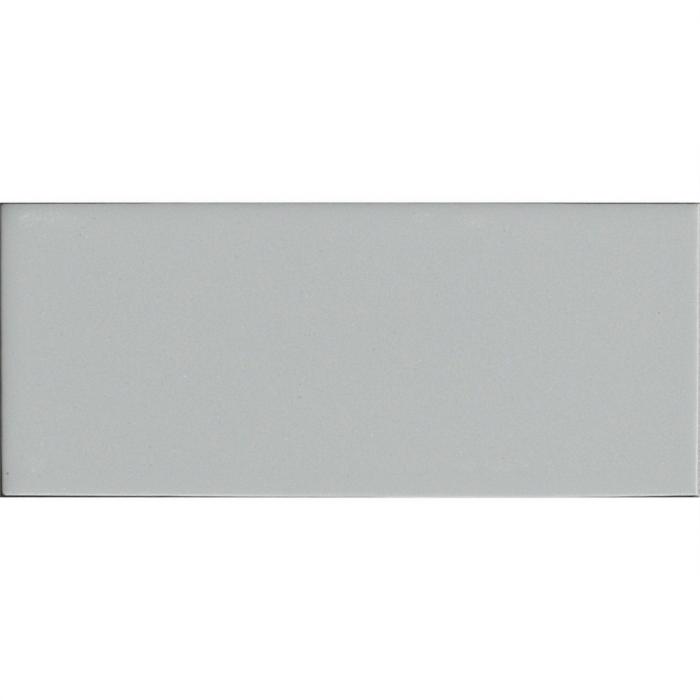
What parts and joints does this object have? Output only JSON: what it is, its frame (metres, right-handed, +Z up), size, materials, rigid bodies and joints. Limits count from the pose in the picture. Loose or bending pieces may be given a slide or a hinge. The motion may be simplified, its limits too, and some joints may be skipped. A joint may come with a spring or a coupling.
{
  "type": "porcelain tile",
  "caption": "Long rectangular glazed porcelain tile with a soft cushion edge, leaning side walls above an upright joint land, and a ridged back for the bed to key into.",
  "frame": {"origin": "middle of the outline, at the height of the back's crests, which is what the tile lies on", "axes": "+X along the tile, towards the picture's right; +Y across it, towards the picture's top; +Z up, out of the glazed face"},
  "size_m": [0.254, 0.107, 0.008],
  "materials": {
    "glazed_porcelain": "gloss"
  },
  "bodies": {
    "root": {"tile": "glazed_porcelain"}
  },
  "joints": []
}
